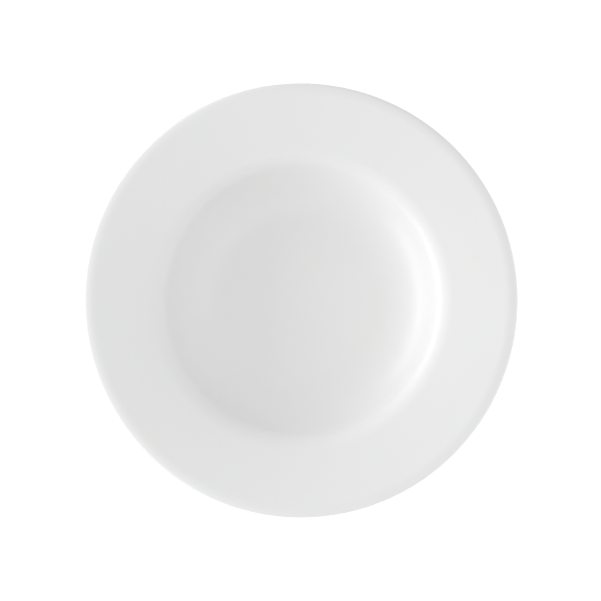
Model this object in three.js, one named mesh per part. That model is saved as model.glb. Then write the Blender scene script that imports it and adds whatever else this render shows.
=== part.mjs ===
// Rim soup plate in glazed white porcelain. Millimetres, +Z up; it stands on z = 0 with its axis on Z.
// One fired body carries two fields of glaze, parted by the bare band that the foot ring stands on.
// Each piece is a section in (radius, height) turned about the axis.
import * as THREE from "three";

// Across the plate
const PLATE_DIAMETER = 230;
const WELL_DIAMETER = 149; // where the lines of wall and rim cross, under the shoulder
const FLOOR_DIAMETER = 122; // where the lines of floor and wall cross, under the cove
const FLAT_DIAMETER = 22; // level middle of the floor
const FOOT_DIAMETER = 100; // middle of the band that the foot stands on

// Up from the table
const FOOT_RECESS = 3; // hollow under the base, inside the foot ring
const FLOOR_DISH = 1.3; // rise of the floor from its level middle to the wall
const WELL_DEPTH = 22.5; // floor up to where wall and rim cross
const RIM_RISE = 6.8; // from there up to the edge roll
const RIM_CROWN = 0.2; // middle of the rim above its chord
const EDGE_DROP = 0.6; // fall of the face over the edge roll

// Thickness of the fired body
const FLOOR_THICKNESS = 4.2;
const WALL_THICKNESS = 4;
const RIM_THICKNESS = 3.6;

// Roundings of the face and the edge
const DISH_RADIUS = 420;
const COVE_RADIUS = 35.5;
const SHOULDER_RADIUS = 14.5;
const CROWN_RADIUS = 450;
const EDGE_ROLL_RADIUS = 16;
const EDGE_ROLL_WIDTH = 3.6; // from the middle of the roll out to the edge
const LIP_RADIUS = 1.7;
const LIP_BACK_RADIUS = 0.75;

// Foot ring
const FOOT_BAND = 2.4; // flat ring that touches the table
const FOOT_SPREAD = 1.8; // how far each side leans out on its way up
const FOOT_FILLET = 2.2;
const FOOT_CORNER_RADIUS = 0.7;

// Glaze
const GLAZE_THICKNESS = 0.3;
const BARE_HEIGHT = 1; // the foot is wiped clean up to here
const GLAZE_TAPER = 0.8; // height over which the glaze thickens from the wiped line

// Facets
const FACETS_AROUND = 56;
const ARC_TOLERANCE = 0.12; // between an arc and its chords
const SAME_POINT = 1e-4; // two points closer than this are one

const point = (radius, height) => new THREE.Vector2(radius, height);
const corner = (at, rounding = 0) => ({ at, rounding });

// Points of a run of straight lines whose corners are rounded. Two roundings that together need more than
// the line between them share it in proportion.
function roundedRun(corners) {
  const bends = corners.slice(1, -1).map(({ at, rounding }, i) => {
    const back = corners[i].at.clone().sub(at);
    const on = corners[i + 2].at.clone().sub(at);
    const [lengthBack, lengthOn] = [back.length(), on.length()];
    const cosine = back.normalize().dot(on.normalize());
    const turn = Math.PI - Math.acos(THREE.MathUtils.clamp(cosine, -1, 1));
    return { at, back, on, lengthBack, lengthOn, turn, reach: rounding * Math.tan(turn / 2) };
  });
  const points = bends.flatMap(({ at, back, on, lengthBack, lengthOn, turn, reach }, i) => {
    if (reach === 0) return [at];
    const shareBack = lengthBack / (reach + (bends[i - 1]?.reach ?? 0));
    const shareOn = lengthOn / (reach + (bends[i + 1]?.reach ?? 0));
    const length = reach * Math.min(1, shareBack, shareOn);
    const radius = length / Math.tan(turn / 2);
    const inward = back.clone().add(on).normalize();
    const centre = at.clone().addScaledVector(inward, radius / Math.cos(turn / 2));
    const start = at.clone().addScaledVector(back, length);
    const step = 2 * Math.acos(Math.max(1 - ARC_TOLERANCE / radius, 0));
    const steps = Math.ceil(turn / step);
    const swing = (Math.sign(on.cross(back)) * turn) / steps;
    return Array.from({ length: steps + 1 }, (_, k) => start.clone().rotateAround(centre, k * swing));
  });
  const run = [corners[0].at];
  for (const p of [...points, corners.at(-1).at]) {
    if (p.distanceTo(run.at(-1)) > SAME_POINT) run.push(p);
  }
  return run;
}

// The line through two points, moved down square to itself by a thickness.
function lineBelow(a, b, thickness) {
  const slope = (b.y - a.y) / (b.x - a.x);
  const start = a.y - slope * a.x - thickness * Math.hypot(1, slope);
  return { slope, heightAt: (radius) => start + slope * radius };
}

function crossing(first, second) {
  const radius = (second.heightAt(0) - first.heightAt(0)) / (first.slope - second.slope);
  return point(radius, first.heightAt(radius));
}

// Height at which a run last passes a radius.
function lastHeightAt(run, radius) {
  const i = run.findLastIndex((p) => p.x > radius);
  return THREE.MathUtils.mapLinear(radius, run[i].x, run[i + 1].x, run[i].y, run[i + 1].y);
}

// The run with a point added wherever it passes a height.
function splitAt(run, height) {
  return run.flatMap((p, i) => {
    const next = run[i + 1];
    if (!next || (p.y - height) * (next.y - height) >= 0) return [p];
    return [p, point(THREE.MathUtils.mapLinear(height, p.y, next.y, p.x, next.x), height)];
  });
}

// A point of a run moved out square to the run, to the left of its direction.
function movedOut(run, i, distance) {
  const sides = [];
  if (i > 0) sides.push(run[i].clone().sub(run[i - 1]));
  if (i < run.length - 1) sides.push(run[i + 1].clone().sub(run[i]));
  const normals = sides.map((side) => point(-side.y, side.x).normalize());
  const outward = normals[0].clone().add(normals.at(-1));
  return run[i].clone().add(outward.setLength(distance));
}

// Body: the face runs from the axis over floor, cove, wall, shoulder and rim to the edge
const bodyRadius = PLATE_DIAMETER / 2 - GLAZE_THICKNESS;
const floorMiddle = point(0, FOOT_RECESS + FLOOR_THICKNESS);
const dishStart = point(FLAT_DIAMETER / 2, floorMiddle.y);
const wallFoot = point(FLOOR_DIAMETER / 2, floorMiddle.y + FLOOR_DISH);
const wallHead = point(WELL_DIAMETER / 2, floorMiddle.y + WELL_DEPTH);
const edgeRoll = point(bodyRadius - EDGE_ROLL_WIDTH, wallHead.y + RIM_RISE);
const rimMiddle = wallHead.clone().lerp(edgeRoll, 0.5).add(point(0, RIM_CROWN));
const edgeTop = point(bodyRadius, edgeRoll.y - EDGE_DROP);

// The back returns to the axis one thickness below the lines of the face
const rimBack = lineBelow(wallHead, edgeRoll, RIM_THICKNESS);
const wallBack = lineBelow(wallFoot, wallHead, WALL_THICKNESS);
const baseBack = lineBelow(floorMiddle, dishStart, FLOOR_THICKNESS);
const baseMiddle = point(0, FOOT_RECESS);
const shell = roundedRun([
  corner(floorMiddle),
  corner(dishStart, DISH_RADIUS),
  corner(wallFoot, COVE_RADIUS),
  corner(wallHead, SHOULDER_RADIUS),
  corner(rimMiddle, CROWN_RADIUS),
  corner(edgeRoll, EDGE_ROLL_RADIUS),
  corner(edgeTop, LIP_RADIUS),
  corner(point(bodyRadius, rimBack.heightAt(bodyRadius)), LIP_BACK_RADIUS),
  corner(crossing(wallBack, rimBack), SHOULDER_RADIUS - WALL_THICKNESS),
  corner(crossing(baseBack, wallBack), COVE_RADIUS + FLOOR_THICKNESS),
  corner(baseMiddle),
]);

// The foot ring drops from the back, with room left on the back for its fillet
const footOuter = (FOOT_DIAMETER + FOOT_BAND) / 2;
const footInner = (FOOT_DIAMETER - FOOT_BAND) / 2;
const footTopOuter = footOuter + FOOT_SPREAD;
const footTopInner = footInner - FOOT_SPREAD;
const backEnd = shell.findLastIndex((p) => p.x > footTopOuter + FOOT_FILLET);
const footed = roundedRun([
  ...shell.slice(0, backEnd + 1).map((p) => corner(p)),
  corner(point(footTopOuter, lastHeightAt(shell, footTopOuter)), FOOT_FILLET),
  corner(point(footOuter, 0), FOOT_CORNER_RADIUS),
  corner(point(footInner, 0), FOOT_CORNER_RADIUS),
  corner(point(footTopInner, FOOT_RECESS), FOOT_FILLET),
  corner(baseMiddle),
]);

// Glaze: each field lies on the body's own points and ends on the wiped line
const taperEnd = BARE_HEIGHT + GLAZE_TAPER;
const bodySection = splitAt(splitAt(footed, BARE_HEIGHT), taperEnd);
const glazeAt = (p, i) => movedOut(bodySection, i, p.y > BARE_HEIGHT ? GLAZE_THICKNESS : 0);
const glazeFace = bodySection.map(glazeAt);
const coatEnd = bodySection.findIndex((p) => p.y === BARE_HEIGHT);
const baseStart = bodySection.findLastIndex((p) => p.y === BARE_HEIGHT);
const coatSection = [...glazeFace.slice(0, coatEnd + 1), ...bodySection.slice(0, coatEnd).reverse()];
const baseSection = [...bodySection.slice(baseStart).reverse(), ...glazeFace.slice(baseStart + 1)];

// Turned pieces. A section has its outside on the left, and a lathe wants it on the right.
const biscuit = new THREE.MeshStandardMaterial({ color: 0xf0ede5, roughness: 0.7, metalness: 0 });
const glaze = new THREE.MeshStandardMaterial({ color: 0xf4f4f2, roughness: 0.2, metalness: 0 });

function turned(name, section, material) {
  const geometry = new THREE.LatheGeometry(section.toReversed(), FACETS_AROUND).rotateX(Math.PI / 2);
  const mesh = new THREE.Mesh(geometry, material);
  mesh.name = name;
  return mesh;
}

const soupPlate = new THREE.Group();
soupPlate.add(
  turned("porcelain_body", bodySection, biscuit),
  turned("glaze_coat", coatSection, glaze),
  turned("base_glaze", baseSection, glaze),
);

export default soupPlate;
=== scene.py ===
"""Rim soup plate in glazed white porcelain, on a pale paper sweep under soft studio light.

Metres, +Z up: the plate stands on z = 0 with its axis on Z. Laid out as an add-on, with one operator for
the fired body, one for its two fields of glaze and one for the studio. The sections, in (radius, height),
repeat the sizes of the solid model and are turned finely enough to look round.
"""
import math
from typing import NamedTuple

import bpy
from bpy.props import FloatProperty, FloatVectorProperty, IntProperty, PointerProperty
from mathutils import Matrix, Vector


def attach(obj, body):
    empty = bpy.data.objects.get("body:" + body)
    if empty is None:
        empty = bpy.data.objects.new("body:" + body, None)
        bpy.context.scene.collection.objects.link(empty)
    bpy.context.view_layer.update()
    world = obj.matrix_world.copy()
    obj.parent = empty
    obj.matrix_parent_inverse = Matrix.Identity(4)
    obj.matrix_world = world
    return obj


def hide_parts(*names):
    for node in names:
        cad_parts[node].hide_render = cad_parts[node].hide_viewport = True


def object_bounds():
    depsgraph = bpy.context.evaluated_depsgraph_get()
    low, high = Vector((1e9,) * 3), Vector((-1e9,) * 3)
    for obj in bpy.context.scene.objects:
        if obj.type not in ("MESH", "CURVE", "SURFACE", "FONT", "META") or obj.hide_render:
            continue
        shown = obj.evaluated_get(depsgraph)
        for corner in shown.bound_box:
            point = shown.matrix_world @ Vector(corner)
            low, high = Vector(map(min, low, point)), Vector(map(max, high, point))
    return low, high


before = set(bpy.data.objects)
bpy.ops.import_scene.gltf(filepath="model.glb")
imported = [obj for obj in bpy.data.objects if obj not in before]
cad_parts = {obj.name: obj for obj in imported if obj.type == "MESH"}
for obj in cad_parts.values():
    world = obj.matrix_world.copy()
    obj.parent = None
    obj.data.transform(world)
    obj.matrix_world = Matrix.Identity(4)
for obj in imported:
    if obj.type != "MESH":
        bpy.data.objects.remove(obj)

bl_info = {
    "name": "Soup Plate",
    "version": (1, 0, 0),
    "blender": (4, 5, 0),
    "location": "3D View > Sidebar > Soup Plate",
    "description": "Turns a rim soup plate from its section, glazes it and lights it in a plain studio",
    "category": "Object",
}

CAD_LOW, CAD_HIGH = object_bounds()
BODY = "root"
MM = 0.001

# The photograph's frame: a square picture with the plate in the middle, seen from straight above
IMAGE_PIXELS = 601
PLATE_RADIUS_PIXELS = 217.5

# How finely the sections are drawn
ARC_TOLERANCE = 0.003 * MM  # between an arc and its chords
LINE_STEP = 2.5 * MM  # longest stretch between two points
BEAD_STEPS = 8  # steps up the rounded end of the glaze
SAME_POINT = 1e-7  # two points closer than this are one
CREASE_ANGLE = math.radians(70)  # an edge that bends more than this stays sharp

# The two finishes: how they bend light, and how rough they are at their smoothest and roughest places
PORCELAIN_IOR = 1.5
GLAZE_ROUGHNESS = (0.34, 0.38)
BISCUIT_ROUGHNESS = (0.65, 0.85)
GRINDING_SHARE = 0.35  # strength of the grinding marks beside that of the grain

# At a scale of 1, the rings of a wave texture are this far apart
WAVE_SPACING = math.pi / 10


def to_linear(hex_colour):
    """A colour written as sRGB hex, such as "#F4F4F2", as linear red, green, blue."""
    codes = [int(hex_colour[i:i + 2], 16) / 255 for i in (1, 3, 5)]
    return tuple(c / 12.92 if c <= 0.04045 else ((c + 0.055) / 1.055) ** 2.4 for c in codes)


def length(name, description, millimetres):
    """A size that is written in millimetres and kept in metres."""
    return FloatProperty(name=name, description=description, default=millimetres * MM, min=0,
                         unit="LENGTH", precision=6)


def colour(name, description, hex_colour):
    """A colour that is written as sRGB hex and kept as linear values."""
    return FloatVectorProperty(name=name, description=description, default=to_linear(hex_colour), size=3,
                               min=0, max=1, subtype="COLOR")


class SoupPlateSizes(bpy.types.PropertyGroup):
    """Sizes of the plate, those of the solid model."""
    plate_diameter: length("Plate diameter", "Across the glazed edge", (CAD_HIGH.x - CAD_LOW.x) / MM)
    well_diameter: length("Well diameter", "Where the lines of wall and rim cross, under the shoulder", 149)
    floor_diameter: length("Floor diameter", "Where the lines of floor and wall cross, under the cove", 122)
    flat_diameter: length("Flat diameter", "Level middle of the floor", 22)
    foot_diameter: length("Foot diameter", "Middle of the band that the foot stands on", 100)
    foot_recess: length("Foot recess", "Hollow under the base, inside the foot ring", 3)
    floor_dish: length("Floor dish", "Rise of the floor from its level middle to the wall", 1.3)
    well_depth: length("Well depth", "Floor up to where wall and rim cross", 22.5)
    rim_rise: length("Rim rise", "From where wall and rim cross up to the edge roll", 6.8)
    rim_crown: length("Rim crown", "Middle of the rim above its chord", 0.2)
    edge_drop: length("Edge drop", "Fall of the face over the edge roll", 0.6)
    floor_thickness: length("Floor thickness", "Fired body under the floor", 4.2)
    wall_thickness: length("Wall thickness", "Fired body of the wall", 4)
    rim_thickness: length("Rim thickness", "Fired body of the rim", 3.6)
    dish_radius: length("Dish radius", "Rounding where the floor starts to rise", 420)
    cove_radius: length("Cove radius", "Rounding between floor and wall", 35.5)
    shoulder_radius: length("Shoulder radius", "Rounding between wall and rim", 14.5)
    crown_radius: length("Crown radius", "Rounding of the middle of the rim", 450)
    edge_roll_radius: length("Edge roll radius", "Rounding where the rim rolls over", 16)
    edge_roll_width: length("Edge roll width", "From the middle of the roll out to the edge", 3.6)
    lip_radius: length("Lip radius", "Rounding of the edge above", 1.7)
    lip_back_radius: length("Lip back radius", "Rounding of the edge below", 0.75)
    foot_band: length("Foot band", "Flat ring that touches the table", 2.4)
    foot_spread: length("Foot spread", "How far each side of the foot leans out on its way up", 1.8)
    foot_fillet: length("Foot fillet", "Rounding between foot and base", 2.2)
    foot_corner_radius: length("Foot corner radius", "Rounding beside the standing band", 0.7)
    glaze_thickness: length("Glaze thickness", "Thickness of the fired glaze", 0.3)
    bare_height: length("Bare height", "The foot is wiped clean up to here", 1)
    glaze_taper: length("Glaze taper", "Height over which the glaze thickens from the wiped line", 0.8)
    facets_around: IntProperty(name="Facets around", description="Facets of the turned pieces", min=24,
                               default=192)


class SoupPlateFinish(bpy.types.PropertyGroup):
    """Colours of the plate and sizes of the marks on its surface."""
    glaze_colour: colour("Glaze", "Even coat of clear glaze on white porcelain", "#EFF0F1")
    thin_glaze_colour: colour("Thin glaze", "Where the coat is thinner and the body warms it", "#F0EFEE")
    glaze_patch: length("Glaze patch", "Patches where the coat is thicker or thinner", 26)
    glaze_ripple: length("Glaze ripple", "Crest to crest of the melted surface", 5)
    turning_ring: length("Turning ring", "Between the rings that shaping leaves on the back", 1.8)
    glaze_relief: length("Glaze relief", "Height of the ripple and of the rings", 0.005)
    biscuit_colour: colour("Biscuit", "Fired porcelain without glaze", "#E9E5DC")
    biscuit_grain_colour: colour("Biscuit grain", "Darker grain of the bare porcelain", "#D9D3C6")
    biscuit_grain: length("Grain size", "Sandy grain of the bare porcelain", 0.4)
    grinding_mark: length("Grinding mark", "Between the marks of the stone that smooths the foot", 0.5)
    biscuit_relief: length("Biscuit relief", "Height of the grain and of the marks", 0.03)


class SoupPlateStudio(bpy.types.PropertyGroup):
    """The studio round the plate."""
    camera_height: length("Camera height", "Lens above the rim", 1600)
    floor_size: length("Floor size", "Side of the paper sweep", 12000)
    room_light: FloatProperty(name="Room light", description="Even light from all sides", default=0.69)
    lamp_distance: length("Lamp distance", "From the plate to each lamp", 1300)
    sweep_colour: colour("Sweep", "Pale paper under the plate", "#DCDCDC")
    sweep_lift: FloatProperty(name="Sweep lift", description="Lifts the paper to white", default=0.58)


class Line(NamedTuple):
    """A straight line of a section, as its slope and its height on the axis."""
    slope: float
    start: float

    def height_at(self, radius):
        """Height of the line at a radius."""
        return self.start + self.slope * radius


def line_below(a, b, thickness):
    """The line through two points, moved down square to itself by a thickness."""
    slope = (b.y - a.y) / (b.x - a.x)
    return Line(slope, a.y - slope * a.x - thickness * math.hypot(1, slope))


def crossing(first, second):
    """Radius and height of the point where two lines cross."""
    radius = (second.start - first.start) / (first.slope - second.slope)
    return radius, first.height_at(radius)


def corner(point, rounding=0.0):
    """A corner of a run, with the radius that rounds it."""
    return Vector(point), rounding


def rounded_run(corners):
    """Points of a run of straight lines with rounded corners.

    Two roundings that together need more than the line between them share it in proportion.
    """
    bends = []
    for (before, _), (at, rounding), (after, _) in zip(corners, corners[1:], corners[2:]):
        back, on = before - at, after - at
        turn = math.pi - back.angle(on)
        bends.append((at, back, on, turn, rounding * math.tan(turn / 2)))
    reaches = [0.0, *(bend[-1] for bend in bends), 0.0]
    points = [corners[0][0]]
    for i, (at, back, on, turn, reach) in enumerate(bends):
        if reach == 0:
            points.append(at)
            continue
        share = min(1, back.length / (reach + reaches[i]), on.length / (reach + reaches[i + 2]))
        back.normalize()
        on.normalize()
        radius = share * reach / math.tan(turn / 2)
        centre = at + (back + on).normalized() * radius / math.cos(turn / 2)
        arm = at + back * share * reach - centre
        steps = math.ceil(turn / (2 * math.acos(1 - ARC_TOLERANCE / radius)))
        swing = math.copysign(turn / steps, on.cross(back))
        points += [centre + Matrix.Rotation(k * swing, 2) @ arm for k in range(steps + 1)]
    points.append(corners[-1][0])
    pairs = zip(points, points[1:])
    return [points[0], *(point for before, point in pairs if (point - before).length > SAME_POINT)]


def divided(points):
    """The run with its long lines divided."""
    run = [points[0]]
    for start, point in zip(points, points[1:]):
        parts = math.ceil((point - start).length / LINE_STEP)
        run += [start.lerp(point, k / parts) for k in range(1, parts + 1)]
    return run


def split_at(run, height):
    """The run with a point added wherever it passes a height."""
    split = [run[0]]
    for start, end in zip(run, run[1:]):
        if (start.y - height) * (end.y - height) < 0:
            share = (height - start.y) / (end.y - start.y)
            split.append(Vector((start.x + share * (end.x - start.x), height)))
        split.append(end)
    return split


def shell_run(sizes):
    """The fired body without its foot: from the axis over the face to the edge and back underneath."""
    radius = sizes.plate_diameter / 2 - sizes.glaze_thickness
    floor_middle = Vector((0, sizes.foot_recess + sizes.floor_thickness))
    dish_start = floor_middle + Vector((sizes.flat_diameter / 2, 0))
    wall_foot = floor_middle + Vector((sizes.floor_diameter / 2, sizes.floor_dish))
    wall_head = floor_middle + Vector((sizes.well_diameter / 2, sizes.well_depth))
    edge_roll = Vector((radius - sizes.edge_roll_width, wall_head.y + sizes.rim_rise))
    rim_middle = wall_head.lerp(edge_roll, 0.5) + Vector((0, sizes.rim_crown))
    rim_back = line_below(wall_head, edge_roll, sizes.rim_thickness)
    wall_back = line_below(wall_foot, wall_head, sizes.wall_thickness)
    base_back = line_below(floor_middle, dish_start, sizes.floor_thickness)
    return rounded_run([
        corner(floor_middle),
        corner(dish_start, sizes.dish_radius),
        corner(wall_foot, sizes.cove_radius),
        corner(wall_head, sizes.shoulder_radius),
        corner(rim_middle, sizes.crown_radius),
        corner(edge_roll, sizes.edge_roll_radius),
        corner((radius, edge_roll.y - sizes.edge_drop), sizes.lip_radius),
        corner((radius, rim_back.height_at(radius)), sizes.lip_back_radius),
        corner(crossing(wall_back, rim_back), sizes.shoulder_radius - sizes.wall_thickness),
        corner(crossing(base_back, wall_back), sizes.cove_radius + sizes.floor_thickness),
        corner((0, sizes.foot_recess)),
    ])


def body_section(sizes):
    """The fired body with its foot ring, and points where the glaze thickens beside the wiped line."""
    shell = shell_run(sizes)
    outer = (sizes.foot_diameter + sizes.foot_band) / 2
    inner = (sizes.foot_diameter - sizes.foot_band) / 2
    top_outer = outer + sizes.foot_spread
    last = max(i for i, point in enumerate(shell) if point.x > top_outer)
    start, end = shell[last], shell[last + 1]
    top_height = start.y + (end.y - start.y) * (top_outer - start.x) / (end.x - start.x)
    # The back ends early enough to leave room for the fillet of the foot
    back_end = max(i for i, point in enumerate(shell) if point.x > top_outer + sizes.foot_fillet)
    run = divided(rounded_run([
        *(corner(point) for point in shell[:back_end + 1]),
        corner((top_outer, top_height), sizes.foot_fillet),
        corner((outer, 0), sizes.foot_corner_radius),
        corner((inner, 0), sizes.foot_corner_radius),
        corner((inner - sizes.foot_spread, sizes.foot_recess), sizes.foot_fillet),
        corner((0, sizes.foot_recess)),
    ]))
    # The steps are closest together beside the wiped line, where the end of the glaze is roundest
    for k in range(BEAD_STEPS + 1):
        run = split_at(run, sizes.bare_height + sizes.glaze_taper * (k / BEAD_STEPS) ** 2)
    return run


def glaze_depth(sizes, height):
    """Thickness of the glaze at a height: it ends on the wiped line in a rounded bead."""
    share = min(max((height - sizes.bare_height) / sizes.glaze_taper, 0), 1)
    return sizes.glaze_thickness * math.sqrt(1 - (1 - share) ** 2)


def glaze_face(sizes, run):
    """Each point of the body's section moved out square to the section by the glaze."""
    sides = [(b - a).orthogonal().normalized() for a, b in zip(run, run[1:])]
    sides = [sides[0], *sides, sides[-1]]
    return [point + (before + after).normalized() * glaze_depth(sizes, point.y)
            for point, before, after in zip(run, sides, sides[1:])]


def glaze_sections(sizes):
    """Closed sections of the two fields of glaze, which end on the wiped line."""
    run = body_section(sizes)
    face = glaze_face(sizes, run)
    wiped = [i for i, point in enumerate(run) if abs(point.y - sizes.bare_height) < SAME_POINT]
    coat_end, base_start = wiped[0], wiped[-1]
    coat = face[:coat_end + 1] + run[:coat_end][::-1]
    base = run[base_start:][::-1] + face[base_start + 1:]
    return coat, base


def add_node(tree, kind, settings=None, **inputs):
    """A node with its settings, its inputs set to values or linked from sockets.

    An input is given by its name, with underscores for spaces, or by its number after an underscore.
    """
    node = tree.nodes.new(kind)
    for name, value in (settings or {}).items():
        setattr(node, name, value)
    for name, value in inputs.items():
        socket = node.inputs[int(name[1:])] if name[1:].isdigit() else node.inputs[name.replace("_", " ")]
        if isinstance(value, bpy.types.NodeSocket):
            tree.links.new(value, socket)
        else:
            socket.default_value = value
    return node


def turning_tree():
    """Geometry Nodes that turn a section, a line of points in the XZ plane, about the Z axis."""
    tree = bpy.data.node_groups.new("turn_section", "GeometryNodeTree")
    for name, kind in (("Section", "Geometry"), ("Facets Around", "Int"), ("Crease Angle", "Float"),
                       ("Finish", "Material")):
        tree.interface.new_socket(name, in_out="INPUT", socket_type="NodeSocket" + kind)
    tree.interface.new_socket("Piece", in_out="OUTPUT", socket_type="NodeSocketGeometry")
    given = add_node(tree, "NodeGroupInput").outputs
    around = given["Facets Around"]
    # A grid with a row for each point of the section and a column for each step around
    count = add_node(tree, "GeometryNodeAttributeDomainSize", Geometry=given["Section"]).outputs[0]
    columns = add_node(tree, "FunctionNodeIntegerMath", {"operation": "ADD"}, _0=around, _1=1)
    grid = add_node(tree, "GeometryNodeMeshGrid", Vertices_X=columns.outputs[0], Vertices_Y=count)
    index = add_node(tree, "GeometryNodeInputIndex").outputs[0]
    column = add_node(tree, "FunctionNodeIntegerMath", {"operation": "DIVIDE_FLOOR"}, _0=index, _1=count)
    row = add_node(tree, "FunctionNodeIntegerMath", {"operation": "MODULO"}, _0=index, _1=count)
    # Each point of the grid takes its row's place on the section, turned by its column's share of a circle
    position = add_node(tree, "GeometryNodeInputPosition").outputs[0]
    on_section = add_node(tree, "GeometryNodeSampleIndex", {"data_type": "FLOAT_VECTOR"},
                          Geometry=given["Section"], Value=position, Index=row.outputs[0])
    share = add_node(tree, "ShaderNodeMath", {"operation": "DIVIDE"}, _0=column.outputs[0], _1=around)
    # A section has its outside on the left, so it is turned clockwise to make its faces point out
    angle = add_node(tree, "ShaderNodeMath", {"operation": "MULTIPLY"}, _0=share.outputs[0], _1=-math.tau)
    turned = add_node(tree, "ShaderNodeVectorRotate", {"rotation_type": "Z_AXIS"},
                      Vector=on_section.outputs[0], Angle=angle.outputs[0])
    wrapped = add_node(tree, "GeometryNodeSetPosition", Geometry=grid.outputs[0],
                       Position=turned.outputs[0])
    closed = add_node(tree, "GeometryNodeMergeByDistance", Geometry=wrapped.outputs[0], Distance=SAME_POINT)
    # Smooth all over, but for the edges that bend sharply
    smooth = add_node(tree, "GeometryNodeSetShadeSmooth", Geometry=closed.outputs[0])
    bend = add_node(tree, "GeometryNodeInputMeshEdgeAngle").outputs["Unsigned Angle"]
    sharp = add_node(tree, "FunctionNodeCompare", {"operation": "GREATER_THAN"}, _0=bend,
                     _1=given["Crease Angle"])
    creased = add_node(tree, "GeometryNodeSetShadeSmooth", {"domain": "EDGE"}, Geometry=smooth.outputs[0],
                       Selection=sharp.outputs[0], Shade_Smooth=False)
    whole = add_node(tree, "GeometryNodeRealizeInstances", Geometry=creased.outputs[0])
    finished = add_node(tree, "GeometryNodeSetMaterial", Geometry=whole.outputs[0],
                        Material=given["Finish"])
    add_node(tree, "NodeGroupOutput", Piece=finished.outputs[0])
    return tree


def turned_piece(name, section, facets, material):
    """A section turned about the axis into a plain mesh, with its faces outwards."""
    line = bpy.data.meshes.new(name + "_section")
    line.from_pydata([(point.x, 0, point.y) for point in section], [], [])
    pattern = bpy.data.objects.new(name + "_section", line)
    bpy.context.scene.collection.objects.link(pattern)
    tree = bpy.data.node_groups.get("turn_section") or turning_tree()
    modifier = pattern.modifiers.new("turn", "NODES")
    modifier.node_group = tree
    sockets = {item.name: item.identifier for item in tree.interface.items_tree}
    modifier[sockets["Facets Around"]] = facets
    modifier[sockets["Crease Angle"]] = CREASE_ANGLE
    modifier[sockets["Finish"]] = material
    graph = bpy.context.evaluated_depsgraph_get()
    mesh = bpy.data.meshes.new_from_object(pattern.evaluated_get(graph), depsgraph=graph)
    mesh.name = name
    # The grid that the tree starts from has an empty first slot
    mesh.materials.pop(index=0)
    bpy.data.objects.remove(pattern)
    bpy.data.meshes.remove(line)
    piece = bpy.data.objects.new(name, mesh)
    bpy.context.scene.collection.objects.link(piece)
    return piece


def new_porcelain(name):
    """A material of that name, its node tree and its shader, which bends light as porcelain does."""
    material = bpy.data.materials.new(name)
    material.use_nodes = True
    shader = material.node_tree.nodes["Principled BSDF"]
    shader.inputs["IOR"].default_value = PORCELAIN_IOR
    return material, material.node_tree, shader


def dress(tree, shader, tint, pattern, roughness, relief, depth):
    """Gives a shader its colour, a relief of a depth, and a roughness that a pattern varies in a range."""
    low, high = roughness
    rough = add_node(tree, "ShaderNodeMapRange", Value=pattern, To_Min=low, To_Max=high)
    bump = add_node(tree, "ShaderNodeBump", Strength=1.0, Distance=depth, Height=relief)
    tree.links.new(tint, shader.inputs["Base Color"])
    tree.links.new(rough.outputs[0], shader.inputs["Roughness"])
    tree.links.new(bump.outputs[0], shader.inputs["Normal"])


def glazed_porcelain(finish, sizes):
    """Clear glaze fired onto white porcelain: a cool white ground under a glassy skin with a soft sheen."""
    material, tree, shader = new_porcelain("glazed_porcelain")
    source = add_node(tree, "ShaderNodeTexCoord").outputs
    place = source["Object"]
    # The coat runs a little thicker and thinner over patches the size of a thumb
    patches = add_node(tree, "ShaderNodeTexNoise", Vector=place, Scale=1 / finish.glaze_patch, Detail=2.0)
    # A Mix node takes its colours at inputs 6 and 7 and gives the mixed one at output 2
    coat = add_node(tree, "ShaderNodeMix", {"data_type": "RGBA"}, Factor=patches.outputs[0],
                    _6=(*finish.glaze_colour, 1), _7=(*finish.thin_glaze_colour, 1))
    # It thins out to nothing on the wiped line above the foot, where the cream body shows through
    height = add_node(tree, "ShaderNodeSeparateXYZ", Vector=place).outputs["Z"]
    cover = add_node(tree, "ShaderNodeMapRange", {"interpolation_type": "SMOOTHSTEP"}, Value=height,
                     From_Min=sizes.bare_height, From_Max=sizes.bare_height + sizes.glaze_taper)
    tint = add_node(tree, "ShaderNodeMix", {"data_type": "RGBA"}, Factor=cover.outputs[0],
                    _6=(*finish.biscuit_colour, 1), _7=coat.outputs[2])
    # Slow ripple of the melted surface, a few millimetres from crest to crest
    ripple = add_node(tree, "ShaderNodeTexNoise", Vector=place, Scale=1 / finish.glaze_ripple, Detail=1.0)
    # The tool that shapes the back leaves fine rings on what looks down, which the glaze softens
    facing = add_node(tree, "ShaderNodeSeparateXYZ", Vector=source["Normal"]).outputs["Z"]
    back = add_node(tree, "ShaderNodeMapRange", Value=facing, From_Min=0.0, From_Max=-0.3)
    rings = add_node(tree, "ShaderNodeTexWave", {"wave_type": "RINGS", "rings_direction": "Z"},
                     Vector=place, Scale=WAVE_SPACING / finish.turning_ring, Distortion=0.6)
    marks = add_node(tree, "ShaderNodeMath", {"operation": "MULTIPLY"}, _0=rings.outputs["Fac"],
                     _1=back.outputs[0])
    relief = add_node(tree, "ShaderNodeMath", {"operation": "ADD"}, _0=ripple.outputs[0],
                      _1=marks.outputs[0])
    dress(tree, shader, tint.outputs[2], patches.outputs[0], GLAZE_ROUGHNESS, relief.outputs[0],
          finish.glaze_relief)
    return material


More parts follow.
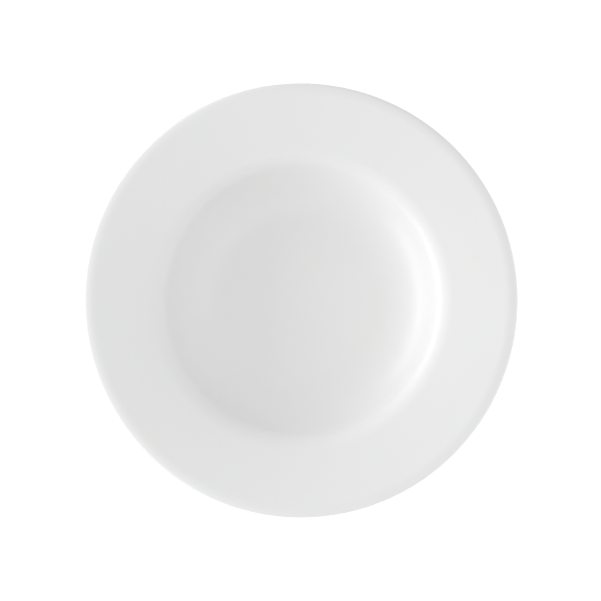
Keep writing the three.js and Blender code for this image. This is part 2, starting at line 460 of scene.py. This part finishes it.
def biscuit_porcelain(finish):
    """Porcelain fired without glaze and ground smooth on a stone: dense, matt, cream and faintly sandy."""
    material, tree, shader = new_porcelain("ground_biscuit_porcelain")
    place = add_node(tree, "ShaderNodeTexCoord").outputs["Object"]
    # Sand grains of about 0.1 mm, drawn coarser so that they show
    grain = add_node(tree, "ShaderNodeTexNoise", Vector=place, Scale=1 / finish.biscuit_grain, Detail=3.0)
    # Grinding marks about 0.1 mm apart run round the foot, drawn coarser so that they show
    marks = add_node(tree, "ShaderNodeTexWave", {"wave_type": "RINGS", "rings_direction": "Z"},
                     Vector=place, Scale=WAVE_SPACING / finish.grinding_mark, Distortion=1.5)
    worn = add_node(tree, "ShaderNodeMath", {"operation": "MULTIPLY_ADD"}, _0=marks.outputs["Fac"],
                    _1=GRINDING_SHARE, _2=grain.outputs[0]).outputs[0]
    tint = add_node(tree, "ShaderNodeMix", {"data_type": "RGBA"}, Factor=worn,
                    _6=(*finish.biscuit_colour, 1), _7=(*finish.biscuit_grain_colour, 1))
    dress(tree, shader, tint.outputs[2], worn, BISCUIT_ROUGHNESS, worn, finish.biscuit_relief)
    return material


class SOUPPLATE_OT_body(bpy.types.Operator):
    """Turn the fired porcelain body with its foot ring"""
    bl_idname = "soup_plate.body"
    bl_label = "Porcelain Body"

    def execute(self, context):
        sizes = context.scene.soup_plate_sizes
        biscuit = biscuit_porcelain(context.scene.soup_plate_finish)
        piece = turned_piece("fired_body", body_section(sizes), sizes.facets_around, biscuit)
        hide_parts("porcelain_body")
        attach(piece, BODY)
        return {"FINISHED"}


class SOUPPLATE_OT_glaze(bpy.types.Operator):
    """Lay the two fields of glaze on the body, above the foot's bare band and inside it"""
    bl_idname = "soup_plate.glaze"
    bl_label = "Glaze"

    def execute(self, context):
        sizes = context.scene.soup_plate_sizes
        glaze = glazed_porcelain(context.scene.soup_plate_finish, sizes)
        coat, base = glaze_sections(sizes)
        fields = (("glaze_of_face_and_back", coat, "glaze_coat"), ("glaze_of_base", base, "base_glaze"))
        for name, section, node in fields:
            piece = turned_piece(name, section, sizes.facets_around, glaze)
            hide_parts(node)
            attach(piece, BODY)
        return {"FINISHED"}


def white_for_the_eye(tree, lit, white):
    """Shows white to camera, mirror and glass rays and the lit shader to all others."""
    path = add_node(tree, "ShaderNodeLightPath").outputs
    seen = path["Is Camera Ray"]
    for ray in ("Is Glossy Ray", "Is Transmission Ray"):
        seen = add_node(tree, "ShaderNodeMath", {"operation": "MAXIMUM"}, _0=seen, _1=path[ray]).outputs[0]
    return add_node(tree, "ShaderNodeMixShader", _0=seen, _1=lit, _2=white).outputs[0]


def white_room(studio):
    """Even light from all sides, which the camera sees as white."""
    world = bpy.data.worlds.new("white_room")
    world.use_nodes = True
    tree = world.node_tree
    tree.nodes.clear()
    lit = add_node(tree, "ShaderNodeBackground", Color=(1, 1, 1, 1), Strength=studio.room_light)
    white = add_node(tree, "ShaderNodeBackground", Color=(1, 1, 1, 1), Strength=1.0)
    shown = white_for_the_eye(tree, lit.outputs[0], white.outputs[0])
    add_node(tree, "ShaderNodeOutputWorld", Surface=shown)
    return world


def paper_sweep(studio):
    """Matt pale paper, lifted to white for the camera, that still darkens in the plate's shadow."""
    material = bpy.data.materials.new("white_paper_sweep")
    material.use_nodes = True
    tree = material.node_tree
    tree.nodes.clear()
    paper = add_node(tree, "ShaderNodeBsdfDiffuse", Color=(*studio.sweep_colour, 1))
    lift = add_node(tree, "ShaderNodeEmission", Color=(1, 1, 1, 1), Strength=studio.sweep_lift)
    lifted = add_node(tree, "ShaderNodeAddShader", _0=paper.outputs[0], _1=lift.outputs[0])
    shown = white_for_the_eye(tree, paper.outputs[0], lifted.outputs[0])
    add_node(tree, "ShaderNodeOutputMaterial", Surface=shown)
    return material


def add_sweep(studio):
    """A level square of paper under the plate, wide enough for low views."""
    half = studio.floor_size / 2
    square = [(-half, -half, 0), (half, -half, 0), (half, half, 0), (-half, half, 0)]
    mesh = bpy.data.meshes.new("sweep")
    mesh.from_pydata(square, [], [(0, 1, 2, 3)])
    mesh.materials.append(paper_sweep(studio))
    sweep = bpy.data.objects.new("sweep", mesh)
    bpy.context.scene.collection.objects.link(sweep)


def add_lamp(name, distance, azimuth, elevation, width, height, radiance):
    """A soft rectangle of light facing the plate, at degrees round from the right and up from the floor."""
    lamp = bpy.data.lights.new(name, "AREA")
    lamp.shape = "RECTANGLE"
    lamp.size = width
    lamp.size_y = height
    # The power that gives a lamp of this area its radiance
    lamp.energy = radiance * math.pi * width * height
    stand = bpy.data.objects.new(name, lamp)
    turn, tilt = math.radians(azimuth), math.radians(elevation)
    away = Vector((math.cos(turn) * math.cos(tilt), math.sin(turn) * math.cos(tilt), math.sin(tilt)))
    stand.location = away * distance
    stand.rotation_euler = away.to_track_quat("Z", "Y").to_euler()
    stand.visible_camera = False
    bpy.context.scene.collection.objects.link(stand)
    return stand


def add_lamps(studio):
    """Soft light, mostly from the left.

    The low softbox lights the far wall of the well, the strips close to the floor light the roll of the
    edge, and the bank above fills in from the right.
    """
    far = studio.lamp_distance
    add_lamp("left_softbox", far, azimuth=180, elevation=14, width=2, height=0.36, radiance=4.5)
    add_lamp("left_floor_strip", far, azimuth=165, elevation=3, width=2, height=0.12, radiance=5)
    add_lamp("right_floor_strip", far, azimuth=340, elevation=3, width=2, height=0.12, radiance=4.7)
    add_lamp("right_bank", far, azimuth=320, elevation=60, width=1.4, height=0.6, radiance=0.8)


def add_camera(studio, sizes):
    """A camera straight above the plate, with the plate as wide in the picture as in the photograph."""
    camera = bpy.data.cameras.new("camera")
    field = sizes.plate_diameter / 2 / PLATE_RADIUS_PIXELS * IMAGE_PIXELS
    camera.lens = camera.sensor_width * studio.camera_height / field
    stand = bpy.data.objects.new("camera", camera)
    stand.location = (0, 0, CAD_HIGH.z + studio.camera_height)
    bpy.context.scene.collection.objects.link(stand)
    return stand


class SOUPPLATE_OT_studio(bpy.types.Operator):
    """Set up the paper sweep, the lamps and the camera"""
    bl_idname = "soup_plate.studio"
    bl_label = "Studio"

    def execute(self, context):
        scene = context.scene
        studio = scene.soup_plate_studio
        add_sweep(studio)
        scene.world = white_room(studio)
        add_lamps(studio)
        scene.camera = add_camera(studio, scene.soup_plate_sizes)
        scene.view_settings.view_transform = "Standard"
        return {"FINISHED"}


class SOUPPLATE_PT_panel(bpy.types.Panel):
    """Lists the steps and the sizes of the soup plate"""
    bl_idname = "SOUPPLATE_PT_panel"
    bl_label = "Soup Plate"
    bl_space_type = "VIEW_3D"
    bl_region_type = "UI"
    bl_category = "Soup Plate"

    def draw(self, context):
        for operator in OPERATORS:
            self.layout.operator(operator.bl_idname)
        for holder in GROUPS:
            group = getattr(context.scene, holder)
            box = self.layout.box()
            for name in group.bl_rna.properties.keys():
                if name not in ("rna_type", "name"):
                    box.prop(group, name)


GROUPS = {
    "soup_plate_sizes": SoupPlateSizes,
    "soup_plate_finish": SoupPlateFinish,
    "soup_plate_studio": SoupPlateStudio,
}
OPERATORS = (SOUPPLATE_OT_body, SOUPPLATE_OT_glaze, SOUPPLATE_OT_studio)


def register():
    for name, group in GROUPS.items():
        bpy.utils.register_class(group)
        setattr(bpy.types.Scene, name, PointerProperty(type=group))
    for made in (*OPERATORS, SOUPPLATE_PT_panel):
        bpy.utils.register_class(made)


def unregister():
    for made in (SOUPPLATE_PT_panel, *reversed(OPERATORS)):
        bpy.utils.unregister_class(made)
    for name, group in reversed(GROUPS.items()):
        delattr(bpy.types.Scene, name)
        bpy.utils.unregister_class(group)


def main():
    register()
    bpy.ops.soup_plate.body()
    bpy.ops.soup_plate.glaze()
    bpy.ops.soup_plate.studio()


if __name__ == "__main__":
    main()
